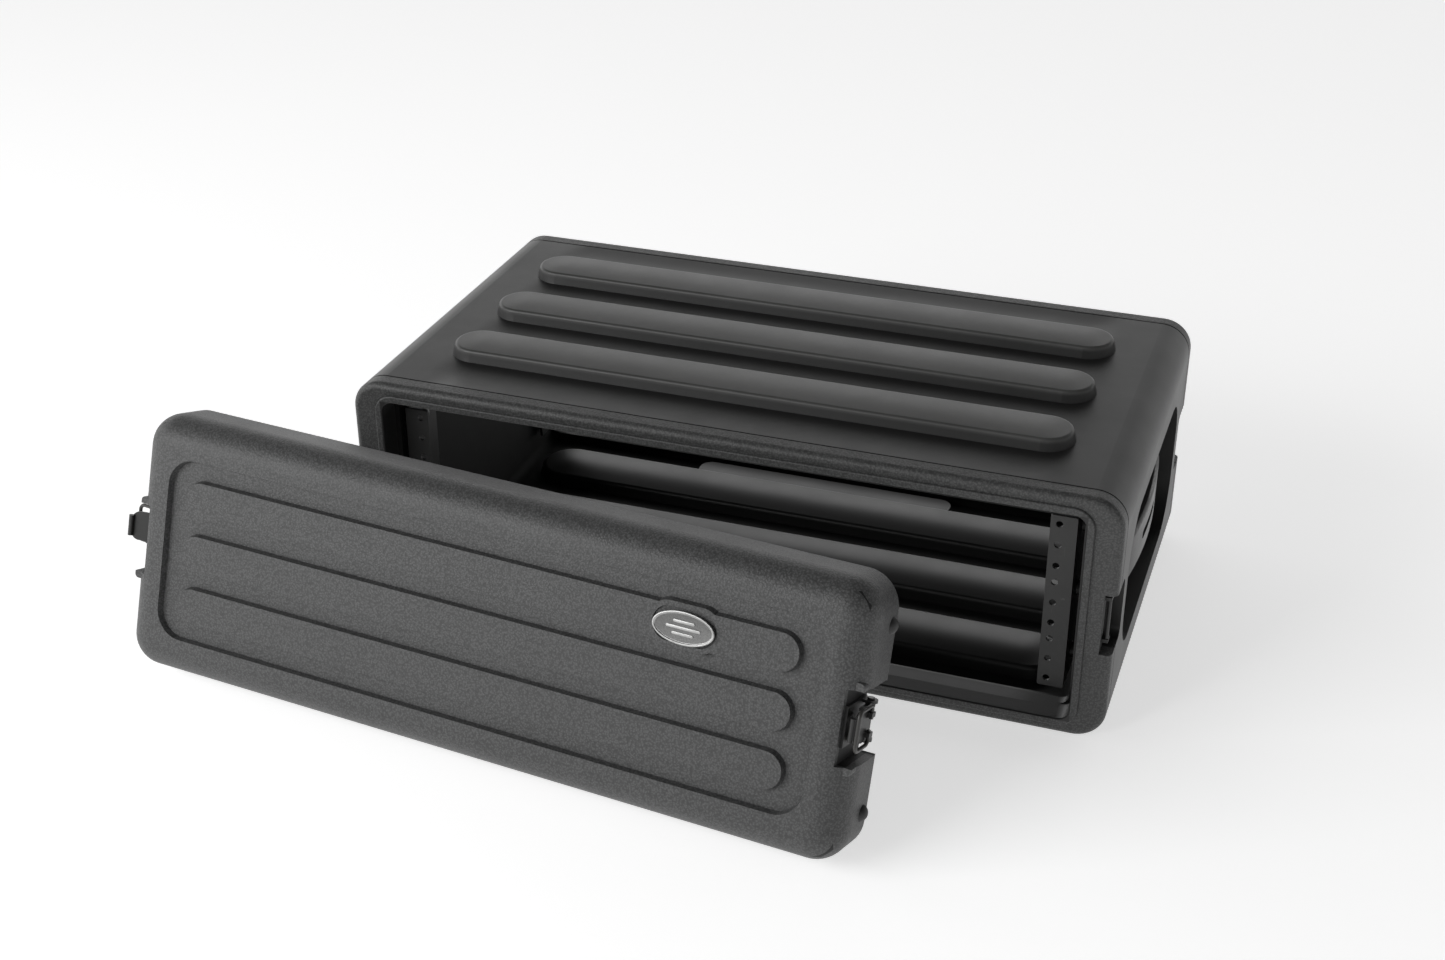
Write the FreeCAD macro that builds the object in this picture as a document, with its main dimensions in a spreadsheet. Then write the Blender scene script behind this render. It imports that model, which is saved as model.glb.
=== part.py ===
import FreeCAD, Part
import Sketcher
import math
import os

# Three-unit rack case: a moulded shell open at the front and rear, four punched rails, two side
# handles, four latch keepers, and a loose front lid with two draw latches.
# Frame: origin at the centre of the front rails' mounting plane, +X right, +Y into the case, +Z up.

V = FreeCAD.Vector
doc = FreeCAD.newDocument("rack_case")
sheet = doc.addObject("Spreadsheet::Sheet", "dims")

DRIVING = {
    # shell
    "case_width": 554.4, "case_height": 184.4, "case_depth": 301.4,
    "ring_radius": 22.0, "ring_length": 13.6, "seam": 1.4, "edge_round": 5.0,
    "rail_setback": 17.4, "mouth_width": 506.0, "mouth_height": 158.0, "mouth_radius": 9.0,
    "bay_width": 499.0, "bay_radius": 7.0, "lip_length": 26.0, "skin": 5.0, "chamber_step": 1.0,
    "bead_width": 5.5, "bead_height": 2.0, "bead_round": 1.2,
    "rib_pitch": 76.2, "rib_length": 460.0, "rib_width": 42.0, "rib_height": 8.5, "rib_draft": 16.0,
    "rib_round": 2.4, "ridge_height": 9.0, "ridge_margin": 6.0, "ridge_round": 3.5,
    "nest_margin": 2.0, "land_length": 214.0, "land_width": 22.0, "land_height": 7.2,
    "pocket_length": 214.0, "pocket_height": 106.0, "pocket_radius": 36.0, "pocket_depth": 25.0,
    "notch_height": 46.0, "notch_depth": 8.8, "notch_length": 30.0, "notch_radius": 6.0,
    # rails and their bolts
    "column_pitch": 465.1, "unit": 44.45, "hole_radius": 2.4,
    "rail_length": 133.35, "rail_flange": 18.0, "rail_leg": 42.0, "rail_gauge": 2.0,
    "rail_edge": 12.0, "rail_bolt_setback": 25.2, "spacer_radius": 5.5,
    "bolt_radius": 3.0, "bolt_spacing": 50.0, "bolt_head": 6.0, "bolt_head_height": 2.6,
    # carrying bars
    "handle_gap": 4.0, "handle_pad": 34.0, "handle_height": 34.0, "handle_heel": 8.0,
    "handle_splay": 6.0, "grip_outer": 1.5, "grip_inner": 11.0, "grip_bow": 5.0,
    "grip_hollow": 3.5, "grip_round": 2.5, "slot_length": 60.0, "slot_height": 7.0,
    "screw_inset": 14.0, "screw_radius": 2.15, "screw_head": 4.6, "screw_head_height": 2.2,
    "screw_seat": 5.0,
    # keepers and rivets
    "keeper_gauge": 1.5, "keeper_start": 12.5, "keeper_end": 26.5, "keeper_half": 17.5,
    "keeper_bar_radius": 1.4, "keeper_bar_rise": 2.9, "keeper_bar_setback": 9.0,
    "keeper_bar_half": 15.0, "post_start": 7.0, "post_rise": 4.4,
    "rivet_radius": 1.6, "rivet_head": 3.0, "rivet_head_height": 1.1,
    "keeper_rivet_setback": 20.0, "keeper_rivet_z": 10.0,
    # lid
    "lid_width": 546.0, "lid_height": 182.0, "lid_thickness": 44.6, "lid_round": 20.5,
    "lid_corner": 23.0, "lid_front_wall": 10.0, "lid_rim_width": 26.0, "lid_rim_depth": 7.0,
    "panel_width": 491.6, "panel_height": 127.8, "panel_radius": 20.0, "panel_depth": 4.5,
    "lid_rib_length": 462.0, "lid_rib_width": 27.0, "lid_rib_pitch": 37.7, "lid_rib_draft": 16.0,
    "panel_draft": 16.0, "badge_x": 152.5, "badge_length": 43.0, "badge_height": 21.5,
    "badge_margin": 5.2, "badge_sink": 1.2, "badge_gauge": 1.6, "badge_rim": 1.5,
    "badge_dish": 1.0, "lid_notch_height": 49.0, "lid_notch_depth": 11.5, "lid_notch_radius": 7.0,
    "gasket_thickness": 4.7, "gasket_groove": 5.0, "groove_margin": 1.7,
    "stud_radius": 6.0, "stud_spacing": 121.4, "stud_inset": 2.2, "stud_setback": 8.0,
    # latches, in the upright lid's frame
    "plate": 2.0, "pin_radius": 1.5, "wire_radius": 1.3, "running": 0.05,
    "base_start": 5.0, "base_end": 38.0, "ear_inner": 11.3, "ear_gauge": 2.0, "ear_radius": 4.5,
    "pin_rise": 6.6, "pin_setback": 11.0, "pin_head": 2.4, "pin_head_height": 1.0,
    "base_rivet_setback": 32.0, "base_rivet_z": 8.0,
    "lever_half": 10.5, "lever_gauge": 1.6, "lever_rise": 1.2, "lever_reach": 29.0,
    "lever_tail": 2.0, "lever_corner": 6.0, "web_inner": 9.0, "web_gauge": 2.0, "web_reach": 16.0,
    "web_inset": 1.4, "eye_radius": 3.2, "curl_radius": 1.9, "curl_half": 7.5, "curl_rise": 0.3,
    "lug_inner": 4.8, "lug_outer": 8.0, "lug_half": 3.0,
    "loop_rise": 4.6, "loop_reach": 8.5, "loop_length": 22.5, "loop_half": 12.7, "loop_bend": 4.0,
    "loop_end": 3.6, "left_opening": 75.0, "left_swing": 25.0,
    # where the lid leans
    "lid_rest_x": -117.0, "lid_rest_y": -140.0, "lid_yaw": -6.0, "lid_lean": -19.25,
}
for row, (alias, number) in enumerate(DRIVING.items(), start=1):
    sheet.set("A%d" % row, alias.replace("_", " "))
    sheet.set("B%d" % row, str(number))
    sheet.setAlias("B%d" % row, alias)
doc.recompute()


def val(expression):
    """The number that an expression on the sheet gives."""
    result = sheet.evalExpression(str(expression))
    return float(getattr(result, "Value", result))


class Sized:
    """Reads a driving dimension as an attribute."""

    def __getattr__(self, alias):
        return val("dims." + alias)


size = Sized()
FRONT = "(-dims.rail_setback)"
REAR = "(dims.case_depth - dims.rail_setback)"
FLOOR = "(-dims.case_height / 2)"
TOP = "(dims.case_height / 2)"
SIDE = "(dims.case_width / 2)"
MIDDLE = "(dims.case_depth / 2 - dims.rail_setback)"
nodes = []


def keep(obj, label):
    """Registers a finished sub-part under its node name."""
    obj.Label = label
    nodes.append(obj)
    return obj


# ---- sketch and feature helpers -------------------------------------------------------------

def new_body(name):
    return doc.addObject("PartDesign::Body", name)


def new_sketch(body, name, plane, offset):
    """An empty sketch on an origin plane of its body, moved along the plane's normal."""
    sketch = body.newObject("Sketcher::SketchObject", name)
    support = next(f for f in body.Origin.OriginFeatures if f.Role == plane)
    sketch.AttachmentSupport = [(support, "")]
    sketch.MapMode = "FlatFace"
    sketch.AttachmentOffset = FreeCAD.Placement(V(0, 0, val(offset)), FreeCAD.Rotation())
    sketch.setExpression("AttachmentOffset.Base.z", str(offset))
    return sketch


def rounded_outline(sketch, centre, width, height, radius):
    """Adds a closed rounded rectangle whose place, sides and corner radius follow expressions."""
    tag = "outline%d_" % sketch.GeometryCount
    low_x, low_y = "%s - (%s) / 2" % (centre[0], width), "%s - (%s) / 2" % (centre[1], height)
    x0, y0, w, h, r = val(low_x), val(low_y), val(width), val(height), val(radius)
    x1, y1 = x0 + w, y0 + h

    def corner(cx, cy, start):
        return Part.ArcOfCircle(Part.Circle(V(cx, cy, 0), V(0, 0, 1), r), start,
                                start + math.pi / 2)

    n = sketch.GeometryCount
    sketch.addGeometry([
        Part.LineSegment(V(x0 + r, y0, 0), V(x1 - r, y0, 0)),
        corner(x1 - r, y0 + r, -math.pi / 2),
        Part.LineSegment(V(x1, y0 + r, 0), V(x1, y1 - r, 0)),
        corner(x1 - r, y1 - r, 0),
        Part.LineSegment(V(x1 - r, y1, 0), V(x0 + r, y1, 0)),
        corner(x0 + r, y1 - r, math.pi / 2),
        Part.LineSegment(V(x0, y1 - r, 0), V(x0, y0 + r, 0)),
        corner(x0 + r, y0 + r, math.pi),
    ], False)
    rules = [Sketcher.Constraint("Tangent", n + i, 2, n + (i + 1) % 8, 1) for i in range(8)]
    rules += [Sketcher.Constraint("Horizontal", n), Sketcher.Constraint("Vertical", n + 2),
              Sketcher.Constraint("Horizontal", n + 4), Sketcher.Constraint("Vertical", n + 6)]
    rules += [Sketcher.Constraint("Equal", n + 1, n + i) for i in (3, 5, 7)]
    sketch.addConstraint(rules)
    driven = [
        ("radius", Sketcher.Constraint("Radius", n + 1, r), radius),
        ("width", Sketcher.Constraint("DistanceX", n + 6, 1, n + 2, 1, w), width),
        ("height", Sketcher.Constraint("DistanceY", n, 1, n + 4, 1, h), height),
        ("left", Sketcher.Constraint("DistanceX", -1, 1, n + 6, 1, x0), low_x),
        ("bottom", Sketcher.Constraint("DistanceY", -1, 1, n, 1, y0), low_y),
    ]
    for name, rule, expression in driven:
        index = sketch.addConstraint(rule)
        sketch.renameConstraint(index, tag + name)
        sketch.setExpression("Constraints." + tag + name, str(expression))


def hole_circle(sketch, centre, radius):
    """Adds a circle fixed by its centre and radius."""
    tag = "hole%d_" % sketch.GeometryCount
    n = sketch.GeometryCount
    x, y, r = val(centre[0]), val(centre[1]), val(radius)
    sketch.addGeometry(Part.Circle(V(x, y, 0), V(0, 0, 1), r), False)
    driven = [
        ("radius", Sketcher.Constraint("Radius", n, r), radius),
        ("x", Sketcher.Constraint("DistanceX", -1, 1, n, 3, x), centre[0]),
        ("y", Sketcher.Constraint("DistanceY", -1, 1, n, 3, y), centre[1]),
    ]
    for name, rule, expression in driven:
        index = sketch.addConstraint(rule)
        sketch.renameConstraint(index, tag + name)
        sketch.setExpression("Constraints." + tag + name, str(expression))


def extrude(body, kind, sketch, length, reverse=False, draft=None):
    """A Pad or Pocket of a sketch; a Pocket that removes nothing is an error."""
    before = body.Shape.Volume if body.Tip else 0.0
    feature = body.newObject("PartDesign::" + kind, kind + "_" + sketch.Name)
    feature.Profile = sketch
    feature.Length = val(length)
    feature.setExpression("Length", str(length))
    feature.Reversed = reverse
    if draft:
        feature.TaperAngle = val(draft)
        feature.setExpression("TaperAngle", str(draft))
    doc.recompute()
    sketch.Visibility = False
    change = feature.Shape.Volume - before
    if (kind == "Pad") != (change > 0):
        raise RuntimeError("%s changed the volume by %.1f" % (feature.Name, change))
    return feature


def outline_feature(body, kind, name, plane, offset, outlines, length, reverse=False, draft=None):
    """One sketch of rounded outlines, padded or pocketed in a single step."""
    sketch = new_sketch(body, name, plane, offset)
    for outline in outlines:
        rounded_outline(sketch, *outline)
    return extrude(body, kind, sketch, length, reverse, draft)


def round_edges(body, name, radius, chosen):
    """Fillets the edges of the body that the chosen test accepts."""
    edges = ["Edge%d" % (i + 1) for i, e in enumerate(body.Tip.Shape.Edges) if chosen(e)]
    fillet = body.newObject("PartDesign::Fillet", name)
    fillet.Base = (body.Tip if body.Tip != fillet else fillet.BaseFeature, edges)
    fillet.Radius = val(radius)
    fillet.setExpression("Radius", str(radius))
    doc.recompute()
    return fillet


def near(a, b, tolerance=0.05):
    return abs(a - b) < tolerance


def lies_at_y(edge, y):
    box = edge.BoundBox
    return near(box.YMin, y) and near(box.YMax, y)


def lies_at_z(edge, z):
    box = edge.BoundBox
    return near(box.ZMin, z) and near(box.ZMax, z)


# ---- case shell -----------------------------------------------------------------------------

def make_shell():
    """The moulded shell: rings, seams, ribs, ridges, handle pockets and latch notches."""
    body = new_body("shell")
    centre = ("0", "0")
    full = (centre, "dims.case_width", "dims.case_height", "dims.ring_radius")
    mouth = (centre, "dims.mouth_width", "dims.mouth_height", "dims.mouth_radius")
    bay = (centre, "dims.bay_width", "dims.mouth_height", "dims.bay_radius")
    outline_feature(body, "Pad", "shell_outer", "XZ_Plane", FRONT + "* -1", [full],
                    "dims.case_depth", reverse=True)
    round_edges(body, "shell_edges", "dims.edge_round",
                lambda e: lies_at_y(e, val(FRONT)) or lies_at_y(e, val(REAR)))
    outline_feature(body, "Pocket", "shell_bay", "XZ_Plane", FRONT + "* -1", [bay],
                    "dims.case_depth")
    for name, face, reverse in (("front", FRONT, False), ("rear", REAR, True)):
        outline_feature(body, "Pocket", "mouth_" + name, "XZ_Plane", face + "* -1", [mouth],
                        "dims.rail_setback", reverse)
        bead = (centre, "dims.mouth_width + 2 * dims.bead_width",
                "dims.mouth_height + 2 * dims.bead_width", "dims.mouth_radius + dims.bead_width")
        outline_feature(body, "Pad", "bead_" + name, "XZ_Plane", face + "* -1", [bead, mouth],
                        "dims.bead_height", reverse)
        top = val(face) + (-1 if name == "front" else 1) * size.bead_height
        round_edges(body, "bead_edge_" + name, "dims.bead_round", lambda e: lies_at_y(e, top))
        start = "dims.ring_length" if name == "front" else "(dims.case_depth - dims.ring_length)"
        cut = (centre, "dims.case_width - 2 * dims.seam", "dims.case_height - 2 * dims.seam",
               "dims.ring_radius - dims.seam")
        outside = (centre, "dims.case_width + 8", "dims.case_height + 8", "dims.ring_radius + 4")
        outline_feature(body, "Pocket", "seam_" + name, "XZ_Plane",
                        "dims.rail_setback - " + start, [outside, cut], "dims.seam", reverse)
    outline_feature(body, "Pocket", "shell_chamber", "XZ_Plane",
                    "dims.rail_setback - dims.lip_length",
                    [(centre, "dims.bay_width",
                      "dims.case_height - 2 * dims.skin - 2 * dims.chamber_step",
                      "dims.bay_radius")],
                    "dims.case_depth - 2 * dims.lip_length")
    for index in (-1, 0, 1):
        spot = ("0", "%s + %d * dims.rib_pitch" % (MIDDLE, index))
        tag = "front" if index < 0 else "rear" if index else "middle"
        rib = (spot, "dims.rib_length", "dims.rib_width", "dims.rib_width * 0.499")
        outline_feature(body, "Pad", "rib_" + tag, "XY_Plane", TOP, [rib], "dims.rib_height",
                        draft="-dims.rib_draft")
        ridge = (spot, "dims.rib_length + 2 * dims.ridge_margin",
                 "dims.rib_width + 2 * dims.ridge_margin",
                 "dims.rib_width * 0.499 + dims.ridge_margin")
        outline_feature(body, "Pad", "ridge_" + tag, "XY_Plane", FLOOR + " + dims.skin", [ridge],
                        "dims.ridge_height + dims.chamber_step", draft="-dims.rib_draft")
        hollow = (spot, "dims.rib_length + 2 * dims.nest_margin",
                  "dims.rib_width + 2 * dims.nest_margin",
                  "dims.rib_width * 0.499 + dims.nest_margin")
        outline_feature(body, "Pocket", "nest_" + tag, "XY_Plane", FLOOR, [hollow],
                        "dims.ridge_height", reverse=True, draft="-dims.rib_draft")
    land = (("0", MIDDLE + " + dims.rib_pitch + dims.rib_width / 2 + dims.land_width / 2"),
            "dims.land_length", "dims.land_width", "dims.land_width * 0.45")
    outline_feature(body, "Pad", "land", "XY_Plane", FLOOR + " + dims.skin", [land],
                    "dims.land_height")
    for side in (-1, 1):
        tag = "left" if side < 0 else "right"
        face = "%d * %s" % (side, SIDE)
        pocket = ((MIDDLE, "0"), "dims.pocket_length", "dims.pocket_height", "dims.pocket_radius")
        outline_feature(body, "Pocket", "pocket_" + tag, "YZ_Plane", face, [pocket],
                        "dims.pocket_depth", reverse=side < 0)
        for end, y in (("front", FRONT), ("rear", REAR)):
            notch = ((y, "0"), "2 * dims.notch_length", "dims.notch_height",
                     "dims.notch_radius")
            outline_feature(body, "Pocket", "notch_%s_%s" % (end, tag), "YZ_Plane", face, [notch],
                            "dims.notch_depth", reverse=side < 0)
    round_edges(body, "rib_tops", "dims.rib_round",
                lambda e: lies_at_z(e, val(TOP) + size.rib_height))
    crest = val(FLOOR) + size.skin + size.ridge_height + size.chamber_step
    round_edges(body, "ridge_tops", "dims.ridge_round", lambda e: lies_at_z(e, crest))
    return keep(body, "body_shell")


# ---- rails ----------------------------------------------------------------------------------

UNIT_HOLES = (6.35, 22.225, 38.1)
CLEARANCE = 0.1
RAIL_OUTSIDE = "(dims.column_pitch / 2 + dims.rail_edge)"


def hole_heights():
    """The nine hole heights of three rack units, about the rail's middle."""
    return [(unit - 1.5) * size.unit + step for unit in range(3) for step in UNIT_HOLES]


def make_rail(name, side, front):
    """An angle rail: a punched flange across the mouth and a leg along the side wall."""
    body = new_body(name)
    wall = RAIL_OUTSIDE
    flange_x = "%d * (%s - dims.rail_flange / 2)" % (side, wall)
    plane_y = "0" if front else "dims.case_depth - 2 * dims.rail_setback"
    sketch = new_sketch(body, name + "_flange", "XZ_Plane", "-(%s)" % plane_y)
    rounded_outline(sketch, (flange_x, "0"), "dims.rail_flange", "dims.rail_length", "1.5")
    for height in hole_heights():
        hole_circle(sketch, ("%d * dims.column_pitch / 2" % side, "%.3f" % height),
                    "dims.hole_radius")
    extrude(body, "Pad", sketch, "dims.rail_gauge", reverse=front)
    sign = 1 if front else -1
    leg = new_sketch(body, name + "_leg", "YZ_Plane", "%d * %s" % (side, wall))
    rounded_outline(leg, ("%s + %d * dims.rail_leg / 2" % (plane_y, sign), "0"), "dims.rail_leg",
                    "dims.rail_length", "1.0")
    for height in (-1, 0, 1):
        hole_circle(leg, ("%s + %d * dims.rail_bolt_setback" % (plane_y, sign),
                          "%d * dims.bolt_spacing" % height), "dims.bolt_radius + %g" % CLEARANCE)
    extrude(body, "Pad", leg, "dims.rail_gauge", reverse=side > 0)
    return keep(body, name)


def shape_node(label, shape, placement=None):
    """A sub-part whose shape is made by code, with its placement set afterwards."""
    feature = doc.addObject("Part::Feature", label)
    own = shape.Placement
    feature.Shape = shape
    feature.Placement = placement.multiply(own) if placement else own
    return keep(feature, label)


def button_bolt(radius, head_radius, head_height, length):
    """A domed-head bolt along +Z: head below z=0, shank from z=0 up."""
    rise = (head_radius ** 2 - head_height ** 2) / (2 * head_height)
    ball = Part.makeSphere(rise + head_height, V(0, 0, rise))
    disc = Part.makeCylinder(head_radius, head_height, V(0, 0, -head_height))
    head = disc.common(ball)
    key = Part.makeCylinder(head_radius * 0.3, head_height * 0.5, V(0, 0, -head_height))
    return head.cut(key).fuse(Part.makeCylinder(radius, length)).removeSplitter()


def rail_bolt_spots(out):
    """The twelve bolt places, this far from the middle, with the bolts' direction."""
    back = size.case_depth - 2 * size.rail_setback
    return [(V(side * out, y, step * size.bolt_spacing), V(side, 0, 0)) for side in (-1, 1)
            for y in (size.rail_bolt_setback, back - size.rail_bolt_setback)
            for step in (-1, 0, 1)]


def spacer_length():
    return size.bay_width / 2 - val(RAIL_OUTSIDE)


def make_rail_bolts():
    """All twelve identical bolts that hold the rails to the side walls."""
    bolt = button_bolt(size.bolt_radius, size.bolt_head, size.bolt_head_height,
                       size.rail_gauge + spacer_length())
    return fasteners("rail_bolts", bolt, rail_bolt_spots(val(RAIL_OUTSIDE) - size.rail_gauge))


def make_rail_spacers():
    """The twelve identical sleeves that hold the rails clear of the side walls."""
    bore = Part.makeCylinder(size.bolt_radius + size.running, spacer_length())
    sleeve = Part.makeCylinder(size.spacer_radius, spacer_length()).cut(bore)
    return fasteners("rail_spacers", sleeve, rail_bolt_spots(val(RAIL_OUTSIDE)))


# ---- handles and keepers --------------------------------------------------------------------

def rounded_box(length, depth, height, radius, place):
    """A box whose four edges along X are rounded, centred on its place."""
    box = Part.makeBox(length, depth, height, V(-length / 2, -depth / 2, -height / 2))
    along = [e for e in box.Edges if near(abs(e.tangentAt(0).x), 1)]
    box = box.makeFillet(radius, along)
    box.translate(place)
    return box


def handle_floor():
    """The pocket floor's distance from the middle, with a hair of clearance."""
    return val(SIDE) - size.pocket_depth + CLEARANCE


def handle_half():
    return size.pocket_length / 2 - size.handle_gap


def make_handle(side):
    """A moulded carrying bar: end pads screwed to the pocket floor and a bowed grip between."""
    name = "side_handle_" + ("left" if side < 0 else "right")
    low, heel = handle_floor(), handle_floor() + size.handle_heel
    half, shoulder = handle_half(), handle_half() - size.handle_pad
    foot = shoulder + size.handle_splay
    crown, belly = val(SIDE) - size.grip_outer, val(SIDE) - size.grip_inner
    brow = crown - size.grip_bow
    outer = Part.Arc(V(brow, -shoulder, 0), V(crown, 0, 0), V(brow, shoulder, 0))
    inner = Part.Arc(V(belly, shoulder, 0), V(belly + size.grip_hollow, 0, 0),
                     V(belly, -shoulder, 0))
    lines = {
        "before": [(low, -half), (heel, -half), (brow, -shoulder)],
        "between": [(brow, shoulder), (heel, half), (low, half), (low, foot), (belly, shoulder)],
        "after": [(belly, -shoulder), (low, -foot), (low, -half)],
    }
    runs = {key: [Part.LineSegment(V(*p, 0), V(*q, 0)).toShape() for p, q in zip(pts, pts[1:])]
            for key, pts in lines.items()}
    rim = runs["before"] + [outer.toShape()] + runs["between"] + [inner.toShape()] + runs["after"]
    bar = Part.Face(Part.Wire(rim)).extrude(V(0, 0, size.handle_height))
    bar.translate(V(0, 0, -size.handle_height / 2))
    outer_edges = [e for e in bar.Edges
                   if near(abs(e.BoundBox.ZMin), size.handle_height / 2)
                   and near(e.BoundBox.ZMin, e.BoundBox.ZMax)
                   and e.BoundBox.XMin > brow - 2 and e.Length > size.handle_pad * 1.5]
    bar = bar.makeFillet(size.grip_round, outer_edges)
    bar = bar.cut(rounded_box(size.slot_length, 2 * size.pocket_depth, size.slot_height,
                              size.slot_height * 0.48, V(val(SIDE), 0, 0)))
    for end in (-1, 1):
        y = end * (half - size.screw_inset)
        bar = bar.cut(Part.makeCylinder(size.screw_radius + size.running, size.pocket_depth,
                                        V(low - 1, y, 0), V(1, 0, 0)))
        bar = bar.cut(Part.makeCylinder(size.screw_head + 0.6, size.pocket_depth,
                                        V(low + size.screw_seat, y, 0), V(1, 0, 0)))
    turn = FreeCAD.Rotation(V(0, 0, 1), 180) if side < 0 else FreeCAD.Rotation()
    return shape_node(name, bar.removeSplitter(), FreeCAD.Placement(V(0, val(MIDDLE), 0), turn))


def fasteners(label, bolt, spots, placement=None):
    """One node of identical bolts or rivets; each spot is its seat and its shank's direction."""
    solids = []
    for seat, direction in spots:
        solid = bolt.copy()
        solid.Placement = FreeCAD.Placement(seat, FreeCAD.Rotation(V(0, 0, 1), direction))
        solids.append(solid)
    return shape_node(label, Part.makeCompound(solids), placement)


def make_handle_screws():
    """Four identical screws that hold the handles' end pads."""
    reach = handle_half() - size.screw_inset
    screw = button_bolt(size.screw_radius, size.screw_head, size.screw_head_height,
                        size.screw_seat)
    spots = [(V(side * (handle_floor() + size.screw_seat), val(MIDDLE) + end * reach, 0),
              V(-side, 0, 0)) for side in (-1, 1) for end in (-1, 1)]
    return fasteners("handle_screws", screw, spots)


def rivet(length):
    return button_bolt(size.rivet_radius, size.rivet_head, size.rivet_head_height, length)


def rivet_hole(floor_x, y, z):
    return Part.makeCylinder(size.rivet_radius + size.running, 6, V(floor_x - 1, y, z), V(1, 0, 0))


def keeper_floor():
    return val(SIDE) - size.notch_depth + size.running


def make_keeper(side, front):
    """A catch in a ring's notch: a plate on the notch floor and a raised upright bar."""
    name = "keeper_%s_%s" % ("front" if front else "rear", "left" if side < 0 else "right")
    floor_x, half = keeper_floor(), size.keeper_half
    shape = Part.makeBox(size.keeper_gauge, size.keeper_end - size.keeper_start, 2 * half,
                         V(floor_x, size.keeper_start, -half))
    bar = Part.makeCylinder(
        size.keeper_bar_radius, 2 * size.keeper_bar_half,
        V(floor_x + size.keeper_bar_rise, size.keeper_bar_setback, -size.keeper_bar_half))
    post_height = half - size.keeper_bar_half
    posts = [Part.makeBox(size.post_rise, size.keeper_start + 2 - size.post_start, post_height,
                          V(floor_x, size.post_start, z)) for z in (-half, size.keeper_bar_half)]
    shape = shape.multiFuse([bar] + posts).removeSplitter()
    for sign in (-1, 1):
        shape = shape.cut(rivet_hole(floor_x, size.keeper_rivet_setback,
                                     sign * size.keeper_rivet_z))
    if side < 0:
        shape = shape.mirror(V(0, 0, 0), V(1, 0, 0))
    if not front:
        shape = shape.mirror(V(0, 0, 0), V(0, 1, 0))
    edge = val(FRONT) if front else val(REAR)
    return shape_node(name, shape, FreeCAD.Placement(V(0, edge, 0), FreeCAD.Rotation()))


def make_keeper_rivets():
    """Eight identical rivets, two in each keeper plate."""
    seat = keeper_floor() + size.keeper_gauge
    rows = (val(FRONT) + size.keeper_rivet_setback, val(REAR) - size.keeper_rivet_setback)
    spots = [(V(side * seat, y, sign * size.keeper_rivet_z), V(-side, 0, 0))
             for side in (-1, 1) for y in rows for sign in (-1, 1)]
    return fasteners("keeper_rivets", rivet(size.keeper_gauge), spots)


# ---- lid ------------------------------------------------------------------------------------
# The lid is drawn standing upright: y = 0 is its rear rim, -Y its face, z = 0 its mid-height.

REST = FreeCAD.Placement(
    V(size.lid_rest_x, val(FRONT) + size.lid_rest_y, val(FLOOR)),
    FreeCAD.Rotation(V(0, 0, 1), size.lid_yaw).multiply(FreeCAD.Rotation(V(1, 0, 0), size.lid_lean))
).multiply(FreeCAD.Placement(V(0, 0, size.lid_height / 2), FreeCAD.Rotation()))


def groove_outlines(margin):
    """The two outlines, this far outside and inside the bead that closes into the groove."""
    outer = "(dims.bead_width + %s)" % margin
    centre = ("0", "0")
    return [(centre, "dims.mouth_width + 2 * " + outer, "dims.mouth_height + 2 * " + outer,
             "dims.mouth_radius + " + outer),
            (centre, "dims.mouth_width - 2 * " + margin, "dims.mouth_height - 2 * " + margin,
             "dims.mouth_radius - " + margin)]


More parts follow.
